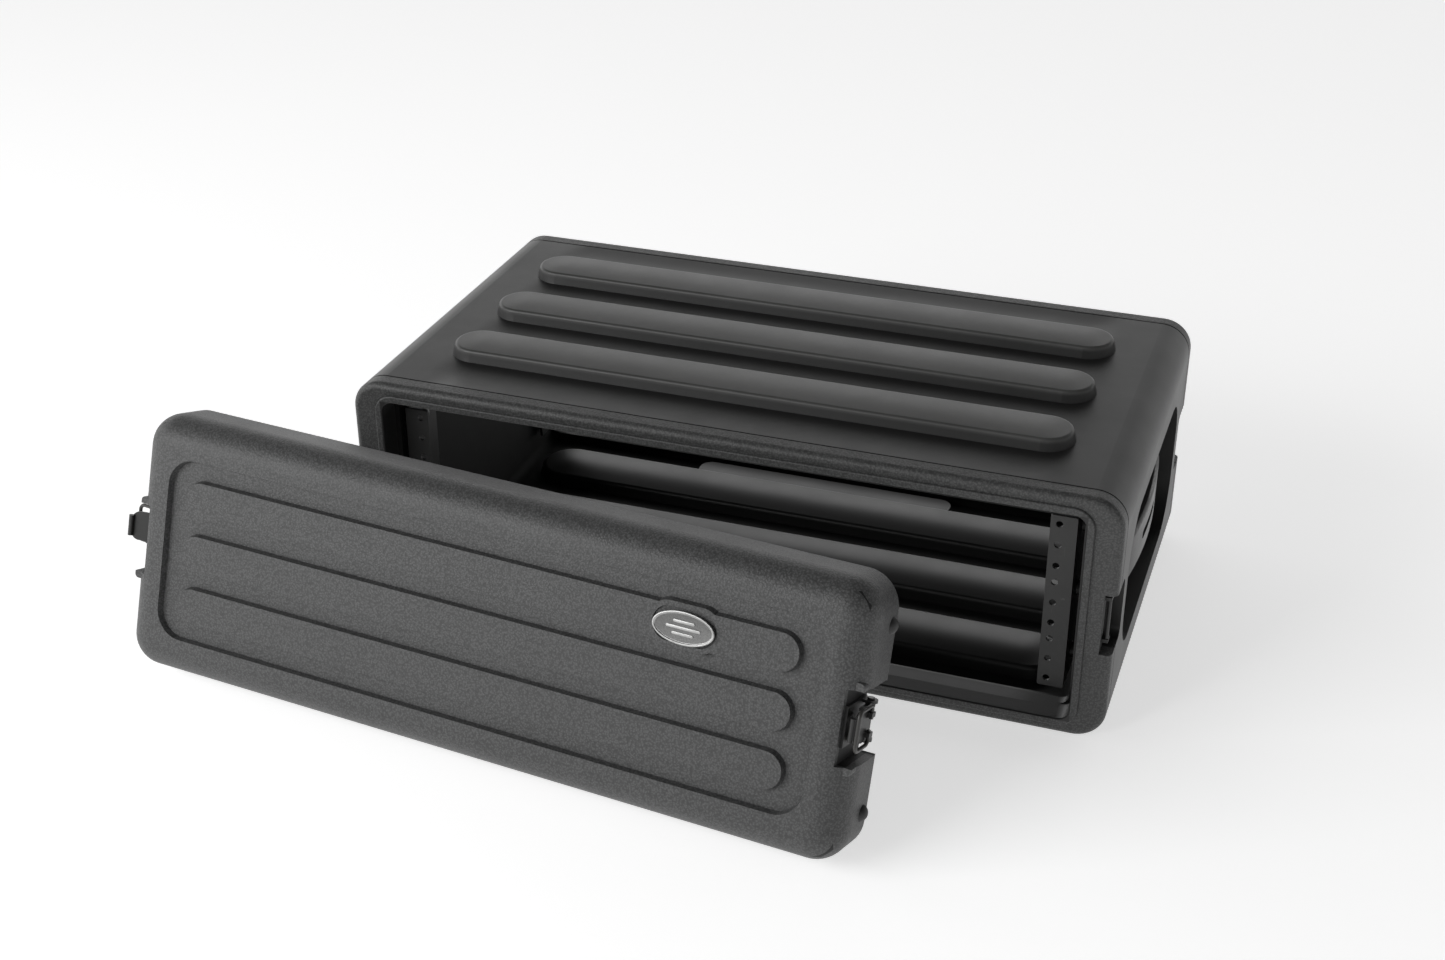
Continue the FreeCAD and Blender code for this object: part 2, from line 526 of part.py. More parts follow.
def make_lid():
    """The moulded front cover: dished face with three ribs, hollow back, rim and latch notches."""
    body = new_body("lid")
    centre = ("0", "0")
    face = "dims.lid_thickness"
    outline_feature(body, "Pad", "lid_outer", "XZ_Plane", "0",
                    [(centre, "dims.lid_width", "dims.lid_height", "dims.lid_corner")], face)
    round_edges(body, "lid_front_edge", "dims.lid_round", lambda e: lies_at_y(e, -size.lid_thickness))
    hollow = (centre, "dims.lid_width - 2 * dims.skin", "dims.lid_height - 2 * dims.skin",
              "dims.lid_corner - dims.skin")
    opening = (centre, "dims.lid_width - 2 * dims.lid_rim_width",
               "dims.lid_height - 2 * dims.lid_rim_width + 12", "dims.lid_corner - dims.skin")
    outline_feature(body, "Pocket", "lid_hollow", "XZ_Plane", "dims.lid_rim_depth", [hollow],
                    "dims.lid_thickness - dims.lid_rim_depth - dims.lid_front_wall", reverse=True)
    outline_feature(body, "Pocket", "lid_opening", "XZ_Plane", "0", [opening],
                    "dims.lid_rim_depth + 1", reverse=True)
    for side in (-1, 1):
        tag = "left" if side < 0 else "right"
        block_x = "%d * (dims.lid_width / 2 - dims.skin / 2 - dims.lid_notch_depth / 2 - 1)" % side
        block = ((block_x, "0"), "dims.lid_notch_depth + dims.skin", "dims.lid_notch_height + 10", "3")
        outline_feature(body, "Pad", "lid_block_" + tag, "XZ_Plane", "0.5", [block],
                        "dims.lid_thickness - 6")
        notch = (("-dims.lid_thickness / 2", "0"), "dims.lid_thickness + 8",
                 "dims.lid_notch_height", "dims.lid_notch_radius")
        outline_feature(body, "Pocket", "lid_notch_" + tag, "YZ_Plane",
                        "%d * dims.lid_width / 2" % side, [notch], "dims.lid_notch_depth",
                        reverse=side < 0)
    panel = (centre, "dims.panel_width", "dims.panel_height", "dims.panel_radius")
    outline_feature(body, "Pocket", "lid_panel", "XZ_Plane", face, [panel], "dims.panel_depth",
                    draft="-dims.panel_draft")
    for index in (-1, 0, 1):
        tag = "low" if index < 0 else "high" if index else "middle"
        rib = (("0", "%d * dims.lid_rib_pitch" % index), "dims.lid_rib_length",
               "dims.lid_rib_width", "dims.lid_rib_width * 0.499")
        outline_feature(body, "Pad", "lid_rib_" + tag, "XZ_Plane", face + " - dims.panel_depth",
                        [rib], "dims.panel_depth", draft="-dims.lid_rib_draft")
    boss = (("dims.badge_x", "dims.lid_rib_pitch"), "dims.badge_length + 2 * dims.badge_margin",
            "dims.badge_height + 2 * dims.badge_margin",
            "(dims.badge_height + 2 * dims.badge_margin) * 0.49")
    outline_feature(body, "Pad", "badge_boss", "XZ_Plane", face + " - dims.panel_depth", [boss],
                    "dims.panel_depth", draft="-dims.panel_draft")
    seat = (("dims.badge_x", "dims.lid_rib_pitch"), "dims.badge_length + 1", "dims.badge_height + 1",
            "(dims.badge_height + 1) * 0.499")
    outline_feature(body, "Pocket", "badge_seat", "XZ_Plane", face, [seat], "dims.badge_sink")
    outline_feature(body, "Pocket", "lid_groove", "XZ_Plane", "0",
                    groove_outlines("dims.groove_margin"), "dims.gasket_groove", reverse=True)
    for sx in (-1, 1):
        for sz in (-1, 1):
            socket = body.newObject("PartDesign::SubtractiveSphere", "socket")
            socket.Radius = size.stud_radius + size.running
            socket.setExpression("Radius", "dims.stud_radius + dims.running")
            socket.Placement = FreeCAD.Placement(stud_centre(sx, sz), FreeCAD.Rotation())
            doc.recompute()
    body.Placement = REST
    return keep(body, "lid_shell")


def stud_centre(sx, sz):
    """Where a locating stud sits on the upright lid."""
    return V(sx * (size.lid_width / 2 - size.stud_inset), -size.stud_setback,
             sz * size.stud_spacing / 2)


def make_stud(sx, sz):
    name = "lid_stud_%s_%s" % ("left" if sx < 0 else "right", "low" if sz < 0 else "high")
    ball = doc.addObject("Part::Sphere", name)
    ball.Radius = size.stud_radius
    ball.setExpression("Radius", "dims.stud_radius")
    ball.Placement = FreeCAD.Placement(REST.multVec(stud_centre(sx, sz)), REST.Rotation)
    return keep(ball, name)


def make_gasket():
    """The foam seal lying in the bottom of the rim groove."""
    body = new_body("gasket")
    outlines = groove_outlines("(dims.groove_margin - %g)" % CLEARANCE)
    outline_feature(body, "Pad", "gasket_strip", "XZ_Plane",
                    "dims.gasket_groove - dims.gasket_thickness", outlines,
                    "dims.gasket_thickness")
    body.Placement = REST
    return keep(body, "lid_gasket")


def make_badge():
    """A plain oval plate with a raised rim, without lettering."""
    front = -size.lid_thickness + size.badge_sink - 0.02
    place = V(size.badge_x, front, size.lid_rib_pitch)
    a, b = size.badge_length / 2, size.badge_height / 2

    def oval(grow, y0, depth):
        curve = Part.Ellipse(V(0, 0, 0), a + grow, b + grow)
        face = Part.Face(Part.Wire(curve.toShape()))
        solid = face.extrude(V(0, 0, depth))
        solid.rotate(V(0, 0, 0), V(1, 0, 0), 90)
        solid.translate(place + V(0, y0, 0))
        return solid

    plate = oval(0, 0, size.badge_gauge)
    dish = oval(-size.badge_rim, size.badge_dish - size.badge_gauge, size.badge_gauge)
    return shape_node("badge_plate", plate.cut(dish), REST)


# ---- latches --------------------------------------------------------------------------------
# Each is drawn on the upright lid's right side; the left one is its mirror image.

NOTCH_FLOOR = size.lid_width / 2 - size.lid_notch_depth + size.running
PIN = V(size.lid_width / 2 - size.lid_notch_depth + size.pin_rise, -size.pin_setback, 0)
LOOP_AXIS = PIN + V(size.loop_rise, -size.loop_reach, 0)
BORE_LENGTH = 50.0


def side_shape(shape, side):
    return shape if side > 0 else shape.mirror(V(0, 0, 0), V(1, 0, 0))


def upright_rod(spot, radius, length=BORE_LENGTH):
    """A rod along z, centred on mid-height."""
    return Part.makeCylinder(radius, length, V(spot.x, spot.y, -length / 2))


def at_both(low, gauge):
    """The two heights, above and below the middle, where a plate of this gauge starts."""
    return (-low - gauge, low)


def make_latch_base(side):
    """A plate on the notch floor with two ears for the lever's pin."""
    name = "latch_base_" + ("left" if side < 0 else "right")
    half = size.ear_inner + size.ear_gauge
    shape = Part.makeBox(size.plate, size.base_end - size.base_start, 2 * half,
                         V(NOTCH_FLOOR, -size.base_end, -half))
    for z in at_both(size.ear_inner, size.ear_gauge):
        ear = Part.makeBox(PIN.x - NOTCH_FLOOR, 2 * size.ear_radius, size.ear_gauge,
                           V(NOTCH_FLOOR, PIN.y - size.ear_radius, z))
        tip = Part.makeCylinder(size.ear_radius, size.ear_gauge, V(PIN.x, PIN.y, z))
        shape = shape.fuse(ear).fuse(tip)
    shape = shape.cut(upright_rod(PIN, size.pin_radius + size.running))
    for sign in (-1, 1):
        shape = shape.cut(rivet_hole(NOTCH_FLOOR, -size.base_rivet_setback,
                                     sign * size.base_rivet_z))
    return shape_node(name, side_shape(shape.removeSplitter(), side), REST)


def make_latch_pin(side):
    """The lever's pin, headed at both ends outside the ears."""
    name = "latch_pin_" + ("left" if side < 0 else "right")
    outside = size.ear_inner + size.ear_gauge + CLEARANCE
    heads = [Part.makeCylinder(size.pin_head, size.pin_head_height, V(PIN.x, PIN.y, z))
             for z in at_both(outside, size.pin_head_height)]
    shaft = upright_rod(PIN, size.pin_radius, 2 * outside + size.pin_head_height)
    return shape_node(name, side_shape(shaft.multiFuse(heads).removeSplitter(), side), REST)


def make_lever(side, opening):
    """A folded lever plate on its pin; opening is its angle from flat, in degrees."""
    name = "latch_lever_" + ("left" if side < 0 else "right")
    half, tip_y = size.lever_half, PIN.y - size.lever_reach
    shape = Part.makeBox(size.lever_gauge, size.lever_reach - size.lever_tail, 2 * half,
                         V(PIN.x + size.lever_rise, tip_y, -half))
    corners = [e for e in shape.Edges
               if near(abs(e.tangentAt(0).x), 1) and e.BoundBox.YMax < tip_y + 1]
    shape = shape.makeFillet(size.lever_corner, corners)
    for z in at_both(size.web_inner, size.web_gauge):
        web = Part.makeBox(size.lever_rise + size.lever_gauge + size.web_inset, size.web_reach,
                           size.web_gauge, V(PIN.x - size.web_inset, PIN.y - size.web_reach, z))
        shape = shape.fuse(web).fuse(
            Part.makeCylinder(size.eye_radius, size.web_gauge, V(PIN.x, PIN.y, z)))
    shape = shape.fuse(upright_rod(V(PIN.x + size.curl_rise, tip_y, 0), size.curl_radius,
                                   2 * size.curl_half))
    shape = shape.cut(upright_rod(PIN, size.pin_radius + size.running))
    lug_foot = size.lever_rise + 1
    for z in at_both(size.lug_inner, size.lug_outer - size.lug_inner):
        shape = shape.fuse(Part.makeBox(
            size.loop_rise + size.wire_radius + 0.2 - lug_foot, 2 * size.lug_half,
            size.lug_outer - size.lug_inner, V(PIN.x + lug_foot, LOOP_AXIS.y - size.lug_half, z)))
    shape = shape.cut(upright_rod(LOOP_AXIS, size.wire_radius + size.running))
    shape.rotate(PIN, V(0, 0, 1), opening)
    return shape_node(name, side_shape(shape.removeSplitter(), side), REST)


def make_loop(side, opening, swing):
    """The wire loop on the lever; swing is its own angle from flat on the lever."""
    name = "latch_loop_" + ("left" if side < 0 else "right")
    x, near_y, far_y = LOOP_AXIS.x, LOOP_AXIS.y, LOOP_AXIS.y - size.loop_length
    half, bend, end = size.loop_half, size.loop_bend, size.loop_end
    cut = bend * (1 - math.sqrt(0.5))
    low, high = -half, half
    path = []
    start = V(x, near_y, -end)
    turns = [  # each bend: where it starts, its middle, where it ends
        ((near_y, low + bend), (near_y - cut, low + cut), (near_y - bend, low)),
        ((far_y + bend, low), (far_y + cut, low + cut), (far_y, low + bend)),
        ((far_y, high - bend), (far_y + cut, high - cut), (far_y + bend, high)),
        ((near_y - bend, high), (near_y - cut, high - cut), (near_y, high - bend)),
    ]
    for turn in turns:
        first, middle, last = (V(x, *point) for point in turn)
        path += [Part.LineSegment(start, first).toShape(), Part.Arc(first, middle, last).toShape()]
        start = last
    path.append(Part.LineSegment(start, V(x, near_y, end)).toShape())
    ring = Part.Wire(Part.Circle(V(x, near_y, -end), V(0, 0, 1), size.wire_radius).toShape())
    shape = Part.Wire(path).makePipeShell([ring], True, False)
    shape.rotate(LOOP_AXIS, V(0, 0, 1), swing)
    shape.rotate(PIN, V(0, 0, 1), opening)
    return shape_node(name, side_shape(shape, side), REST)


def make_latch_rivets():
    """Four identical rivets, two in each latch base."""
    seat = NOTCH_FLOOR + size.plate
    spots = [(V(side * seat, -size.base_rivet_setback, sign * size.base_rivet_z), V(-side, 0, 0))
             for side in (-1, 1) for sign in (-1, 1)]
    return fasteners("latch_rivets", rivet(size.plate), spots, REST)


# ---- the assembly ---------------------------------------------------------------------------

make_shell()
for side in (-1, 1):
    word = "left" if side < 0 else "right"
    make_rail("rail_front_" + word, side, True)
    make_rail("rail_rear_" + word, side, False)
    make_handle(side)
    make_keeper(side, True)
    make_keeper(side, False)
make_rail_bolts()
make_rail_spacers()
make_handle_screws()
make_keeper_rivets()
make_lid()
make_gasket()
make_badge()
for side in (-1, 1):
    opening, swing = (size.left_opening, size.left_swing) if side < 0 else (0.0, 0.0)
    make_latch_base(side)
    make_latch_pin(side)
    make_lever(side, opening)
    make_loop(side, opening, swing)
    for height in (-1, 1):
        make_stud(side, height)
make_latch_rivets()
doc.recompute()

for obj in doc.Objects:
    if "Invalid" in obj.State or "Error" in obj.State:
        raise RuntimeError("%s failed: %s" % (obj.Name, obj.State))
for obj in nodes:
    if obj.Shape.isNull() or not obj.Shape.isValid():
        raise RuntimeError(obj.Label + " has no valid shape")
os.makedirs("parts", exist_ok=True)
for obj in nodes:
    obj.Shape.exportStep("parts/%s.step" % obj.Label)
    print("%-24s %9.1f mm3" % (obj.Label, obj.Shape.Volume))
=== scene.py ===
import math
import bmesh
import bpy
from bpy.props import FloatProperty, FloatVectorProperty, PointerProperty
from mathutils import Matrix, Vector


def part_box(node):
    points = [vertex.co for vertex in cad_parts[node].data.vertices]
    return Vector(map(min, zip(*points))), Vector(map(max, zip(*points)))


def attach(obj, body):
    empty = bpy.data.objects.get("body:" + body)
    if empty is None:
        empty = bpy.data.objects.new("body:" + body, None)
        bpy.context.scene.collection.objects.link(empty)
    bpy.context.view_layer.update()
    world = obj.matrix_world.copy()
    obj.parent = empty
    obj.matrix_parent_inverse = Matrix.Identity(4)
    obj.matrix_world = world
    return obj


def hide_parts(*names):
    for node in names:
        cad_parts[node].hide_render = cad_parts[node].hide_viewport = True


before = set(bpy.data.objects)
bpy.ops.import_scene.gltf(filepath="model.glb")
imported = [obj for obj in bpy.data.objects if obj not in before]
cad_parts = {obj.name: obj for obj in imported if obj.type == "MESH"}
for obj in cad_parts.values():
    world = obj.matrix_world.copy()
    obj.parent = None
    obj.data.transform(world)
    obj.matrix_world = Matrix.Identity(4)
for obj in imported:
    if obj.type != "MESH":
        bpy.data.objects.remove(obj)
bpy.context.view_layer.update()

bl_info = {
    "name": "Rack case finishes",
    "version": (1, 0, 0),
    "blender": (4, 5, 0),
    "location": "3D View > Sidebar > Rack Case",
    "description": "Plastic, steel and foam finishes, badge and studio for a three-unit rack case",
    "category": "Object",
}

MM = 0.001
SHELL_LOW, SHELL_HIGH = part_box("body_shell")
# The shell ends at the beads round its two mouths, which stand 2 mm off the ring faces.
FRONT, REAR = SHELL_LOW.y, SHELL_HIGH.y
MIDDLE = (FRONT + REAR) / 2
FLOOR = SHELL_LOW.z

# The lid's own axes at rest: along its length, through its thickness (towards its rear), and up.
# LID_FOOT is measured from the bead, so it lies 2 mm further forward than the CAD lid's foot.
LID_YAW, LID_LEAN = math.radians(-6.0), math.radians(-19.25)
LID_TURN = Matrix.Rotation(LID_YAW, 3, "Z") @ Matrix.Rotation(LID_LEAN, 3, "X")
LID_LENGTH, LID_HEIGHT, LID_THICKNESS = 546.0 * MM, 182.0 * MM, 44.6 * MM
LID_FOOT = Vector((-117.0 * MM, FRONT - 140.0 * MM, FLOOR))
LID_MIDDLE = LID_FOOT + LID_TURN @ Vector((0, 0, LID_HEIGHT / 2))
LID_AXES = [LID_TURN.col[i] for i in range(3)]

# The badge, from the lid's middle: where it sits, its half sizes and how it lies in its seat.
BADGE_X, BADGE_Z = 152.5 * MM, 37.7 * MM
BADGE_HALF_LENGTH, BADGE_HALF_HEIGHT = 21.45 * MM, 10.7 * MM
BADGE_THICKNESS, BADGE_PROUD = 1.55 * MM, 0.4 * MM
BADGE_FIELD_DEPTH = 0.62 * MM
EMBLEM_LENGTHS = {-1: 15.0 * MM, 0: 24.0 * MM, 1: 15.0 * MM}

# Dust and chipped grain, on the shell and on the lid.
SHELL_DUST = (0.32, 0.32, 0.31)
LID_DUST = (0.28, 0.28, 0.27)


# ---- shader expressions ---------------------------------------------------------------------

class Wire:
    """A shader socket that can stand in a Python expression; each operator adds a Math node."""

    def __init__(self, finish, socket):
        self.finish = finish
        self.socket = socket

    def math(self, operation, *others):
        values = dict(enumerate((self,) + others))
        return self.finish.add("Math", {"operation": operation}, values)

    def reflected(self, operation, other):
        return self.finish.add("Math", {"operation": operation}, {0: other, 1: self})

    def __add__(self, other):
        return self.math("ADD", other)

    def __radd__(self, other):
        return self.reflected("ADD", other)

    def __sub__(self, other):
        return self.math("SUBTRACT", other)

    def __rsub__(self, other):
        return self.reflected("SUBTRACT", other)

    def __mul__(self, other):
        return self.math("MULTIPLY", other)

    def __rmul__(self, other):
        return self.reflected("MULTIPLY", other)

    def __gt__(self, other):
        return self.math("GREATER_THAN", other)

    def __lt__(self, other):
        return self.math("LESS_THAN", other)

    def __abs__(self):
        return self.math("ABSOLUTE")

    def either(self, other):
        """The larger of two masks."""
        return self.math("MAXIMUM", other)

    def ramp(self, low, high):
        """0 below low, 1 above high and smooth between."""
        settings = {"interpolation_type": "SMOOTHSTEP"}
        return self.finish.add("MapRange", settings,
                               {"Value": self, "From Min": low, "From Max": high})


class Finish:
    """A node material being made, with the places and patterns that the finishes share."""

    def __init__(self, name, **constants):
        self.material = bpy.data.materials.new(name)
        self.material.use_nodes = True
        self.tree = self.material.node_tree
        self.shader = self.tree.nodes["Principled BSDF"]
        for socket, value in constants.items():
            self.shader.inputs[socket.replace("_", " ")].default_value = value
        self.place = self.add("TexCoord", output="Object")

    def add(self, kind, settings=None, sockets=None, output=0):
        """One node: its settings first, then the values or links of its sockets."""
        node = self.tree.nodes.new("ShaderNode" + kind)
        for name, value in (settings or {}).items():
            setattr(node, name, value)
        for name, value in (sockets or {}).items():
            self.feed(node.inputs[name], value)
        return Wire(self, node.outputs[output])

    def feed(self, socket, value):
        if isinstance(value, Wire):
            self.tree.links.new(value.socket, socket)
        else:
            socket.default_value = value

    def give(self, socket, value):
        """Feeds one of the shader's own sockets."""
        self.feed(self.shader.inputs[socket], value)

    def along(self, direction, origin=(0, 0, 0)):
        """Distance from origin along a direction, in metres."""
        moved = self.add("VectorMath", {"operation": "SUBTRACT"}, {0: self.place, 1: origin})
        return self.add("VectorMath", {"operation": "DOT_PRODUCT"},
                        {0: moved, 1: direction}, "Value")

    def stretched(self, factors):
        return self.add("VectorMath", {"operation": "MULTIPLY"}, {0: self.place, 1: factors})

    def noise(self, scale, detail=2.0, roughness=0.5, place=None):
        return self.add("TexNoise", None,
                        {"Vector": place or self.place, "Scale": scale, "Detail": detail,
                         "Roughness": roughness})

    def cells(self, scale, randomness=1.0, place=None, output="Distance"):
        return self.add("TexVoronoi", None,
                        {"Vector": place or self.place, "Scale": scale,
                         "Randomness": randomness}, output)

    def blend(self, factor, low, high):
        """A colour between two colours, or between two wires that carry colours."""
        sockets = {0: factor, 6: low, 7: high}
        return self.add("Mix", {"data_type": "RGBA", "clamp_factor": True}, sockets, 2)

    def bump(self, height, distance):
        return self.add("Bump", None, {"Height": height, "Distance": distance, "Strength": 1.0})


def rgba(colour, gain=1.0):
    return (colour[0] * gain, colour[1] * gain, colour[2] * gain, 1.0)


def dress(node, material):
    """Puts one material on a CAD node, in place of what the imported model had."""
    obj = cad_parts[node]
    obj.data.materials.clear()
    obj.data.materials.append(material)
    for polygon in obj.data.polygons:
        polygon.material_index = 0
    return obj


# ---- settings -------------------------------------------------------------------------------

def colour_property(name, description, default):
    return FloatVectorProperty(name=name, description=description, default=default,
                               subtype="COLOR", size=3, min=0.0, max=1.0)


def length_property(name, description, default):
    return FloatProperty(name=name, description=description, default=default, unit="LENGTH",
                         subtype="DISTANCE", min=0.0, precision=5)


def factor_property(name, description, default):
    return FloatProperty(name=name, description=description, default=default, min=0.0, max=1.0,
                         subtype="FACTOR")


class PlasticSettings(bpy.types.PropertyGroup):
    """Colours and grain of the moulded plastic."""
    shell_colour: colour_property("Shell", "Colour of the shell between its end rings",
                                  (0.0125, 0.0125, 0.0122))
    # Painted highlight: the ribs' tops get this lighter colour to stand in for the light they catch.
    crest_highlight_colour: colour_property("Crest", "Colour of the rubbed tops of the shell's ribs",
                                  (0.052, 0.0522, 0.0505))
    ring_colour: colour_property("Ring", "Colour of the shell's grained end rings",
                                 (0.050, 0.0506, 0.0502))
    lid_colour: colour_property("Lid", "Colour of the grained lid", (0.062, 0.0626, 0.0628))
    # Painted shade: the bay's inner walls and the lid's hollow back get this much darker colour to
    # stand in for the shade inside them.
    inside_shade_colour: colour_property("Inside", "Colour of the smooth inner walls",
                                   (0.0024, 0.0024, 0.0023))
    handle_colour: colour_property("Handle", "Colour of the carrying bars", (0.016, 0.016, 0.016))
    grain_pitch: length_property("Grain pitch", "Spacing of the coarse grain's pebbles", 1.45 * MM)
    grain_depth: length_property("Grain depth", "Height of the coarse grain's pebbles", 0.24 * MM)
    satin_pitch: length_property("Satin pitch", "Spacing of the shell's fine grain", 0.55 * MM)
    satin_depth: length_property("Satin depth", "Height of the shell's fine grain", 0.035 * MM)
    grain_roughness: factor_property("Grain roughness", "Roughness of the grained plastic", 0.47)
    satin_roughness: factor_property("Satin roughness", "Roughness of the shell's sides", 0.42)
    inside_roughness: factor_property("Inside roughness", "Roughness of the inner walls", 0.46)
    crown_height: length_property("Crown", "How far a rib's top bows up at its middle", 1.0 * MM)
    ridge_crown: length_property("Ridge crown", "Extra bow of the inner ridges", 2.2 * MM)


class MetalSettings(bpy.types.PropertyGroup):
    """Colours of the steel parts and the badge."""
    coat_colour: colour_property("Coat", "Colour of the powder coat on rails and latches",
                                 (0.020, 0.020, 0.0195))
    zinc_colour: colour_property("Zinc", "Colour of the black zinc on pins and screws",
                                 (0.035, 0.034, 0.032))
    worn_colour: colour_property("Worn", "Colour of the steel where the coat has worn thin",
                                 (0.16, 0.16, 0.155))
    badge_colour: colour_property("Badge", "Colour of the badge's satin metal",
                                  (0.44, 0.44, 0.435))
    badge_field: colour_property("Badge field", "Colour of the badge's sunken field",
                                 (0.15, 0.15, 0.148))


class BadgeSettings(bpy.types.PropertyGroup):
    """Sizes of the badge's relief."""
    rim_width: length_property("Rim width", "Width of the raised rim", 1.4 * MM)
    bar_width: length_property("Bar width", "Width of each emblem bar", 2.0 * MM)
    bar_pitch: length_property("Bar pitch", "Distance between emblem bars", 3.9 * MM)
    bar_rise: length_property("Bar rise", "How far the bars stand off the field", 0.35 * MM)


class StudioSettings(bpy.types.PropertyGroup):
    """Camera, floor and light."""
    camera_place: FloatVectorProperty(name="Camera", description="Where the camera stands",
                                      default=(0.4074, -1.1506, 0.7212), subtype="TRANSLATION")
    camera_aim: FloatVectorProperty(name="Aim", description="What the camera points at",
                                    default=(-0.0035, 0.0059, 0.0477), subtype="TRANSLATION")
    camera_roll: FloatProperty(name="Roll", description="Turn of the camera about its view",
                               default=math.radians(-0.16), subtype="ANGLE")
    camera_lens: FloatProperty(name="Lens", description="Focal length on a 36 mm sensor",
                               default=50.25, unit="CAMERA")
    floor_width: length_property("Floor width", "Width of the plain floor", 80.0)
    floor_colour: colour_property("Floor", "Colour of the plain floor", (0.9, 0.9, 0.9))
    floor_glow: FloatProperty(name="Floor glow", description="Light the lit-through floor adds",
                              default=0.57, min=0.0)
    sky_top: FloatProperty(name="Ceiling", description="Light from the studio's dim ceiling",
                           default=0.10, min=0.0)
    sky_low: FloatProperty(name="Dim side", description="Light low down on the studio's dim side",
                           default=0.5, min=0.0)
    sky_high: FloatProperty(name="Bright side", description="Light low down on the bright side",
                            default=1.75, min=0.0)
    key_power: FloatProperty(name="Key", description="Power of the soft box at the front left",
                             default=36.0, min=0.0, unit="POWER")
    key_place: FloatVectorProperty(name="Key place", description="Where the soft box hangs",
                                   default=(-1.55, -1.65, 1.15), subtype="TRANSLATION")


# ---- finishes -------------------------------------------------------------------------------

def worn_grey(finish, colour, mottling=0.16):
    """A colour with slow mottling, as handled plastic has."""
    slow = finish.noise(9.0, 3.0, 0.6)
    fine = finish.noise(140.0, 2.0, 0.6)
    shade = slow * 0.7 + fine * 0.3
    return finish.blend(shade.ramp(0.25, 0.75), rgba(colour, 1.0 - mottling),
                        rgba(colour, 1.0 + mottling))


def pebbles(finish, pitch):
    """The rounded pebbles of a coarse mould grain, from 0 in the valleys to about 1."""
    warp = finish.add("VectorMath", {"operation": "SCALE"},
                      {0: finish.add("TexNoise", None, {"Vector": finish.place,
                                                        "Scale": 0.45 / pitch}, "Color"),
                       "Scale": pitch * 1.2})
    place = finish.add("VectorMath", {"operation": "ADD"}, {0: finish.place, 1: warp})
    round_tops = 1.0 - finish.cells(1.0 / pitch, 1.0, place)
    fine = finish.noise(2.4 / pitch, 2.0, 0.6)
    return round_tops * 0.65 + fine * 0.55


def grain_lit_and_shaded(finish, colour, grain):
    """Grained plastic with painted light and shade: the pebble tops are painted lighter and the
    valleys between them darker.
    """
    return finish.blend(grain.ramp(0.42, 0.86), rgba(colour, 0.66), rgba(colour, 1.42))


def scuffs(finish, threshold=0.74):
    """Thin rubbed lines in two directions, in patches."""
    across = finish.noise(1.0, 3.0, 0.65, finish.stretched((14.0, 900.0, 260.0)))
    along = finish.noise(1.0, 3.0, 0.65, finish.stretched((700.0, 18.0, 40.0)))
    patches = finish.noise(11.0, 1.0).ramp(0.5, 0.68)
    return across.ramp(threshold, threshold + 0.06).either(
        along.ramp(threshold, threshold + 0.06)) * patches


def specks(finish, pitch, radius):
    """Rare small light specks of dust and chipped grain."""
    dot = finish.cells(1.0 / pitch) < radius / pitch
    chance = finish.add("SeparateColor", None, {0: finish.cells(1.0 / pitch, output="Color")})
    rarity = 0.72
    return dot * (chance > rarity)


